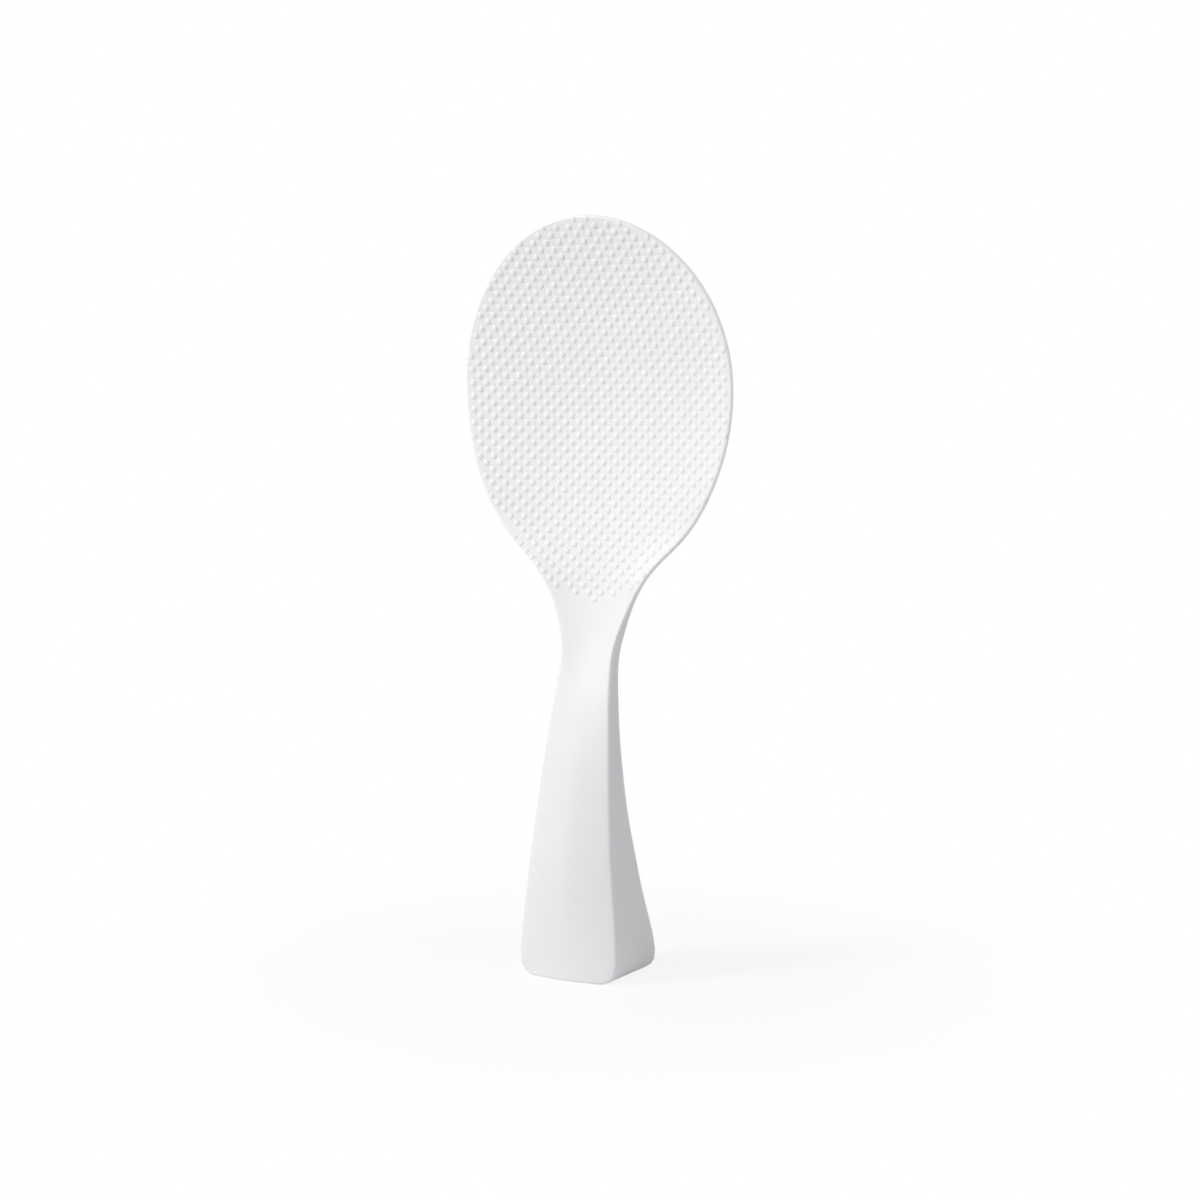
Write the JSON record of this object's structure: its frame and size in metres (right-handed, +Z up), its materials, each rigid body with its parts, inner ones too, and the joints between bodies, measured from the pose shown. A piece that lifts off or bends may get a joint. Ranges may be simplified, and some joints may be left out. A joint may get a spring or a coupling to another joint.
{
  "type": "rice paddle",
  "caption": "Self-standing rice paddle: broad egg-shaped dished bowl with a non-stick bumped surface, slim neck and hollow flared handle that ends in a flat weighted foot.",
  "frame": {"origin": "centre of the bounding box at the underside of the foot, on the surface the paddle stands on", "axes": "+Z up from the foot to the bowl's tip, +X across the bowl, -Y the side the bowl opens to"},
  "size_m": [0.0816, 0.0253, 0.2],
  "materials": {
    "body_plastic": "white polypropylene, satin moulded skin",
    "cap_plastic": "white polypropylene, finely spark-textured",
    "ballast_steel": "sawn and tumbled plain steel"
  },
  "bodies": {
    "root": {"paddle_body": "body_plastic", "base_cap": "cap_plastic", "ballast_weight": "ballast_steel"}
  },
  "joints": []
}
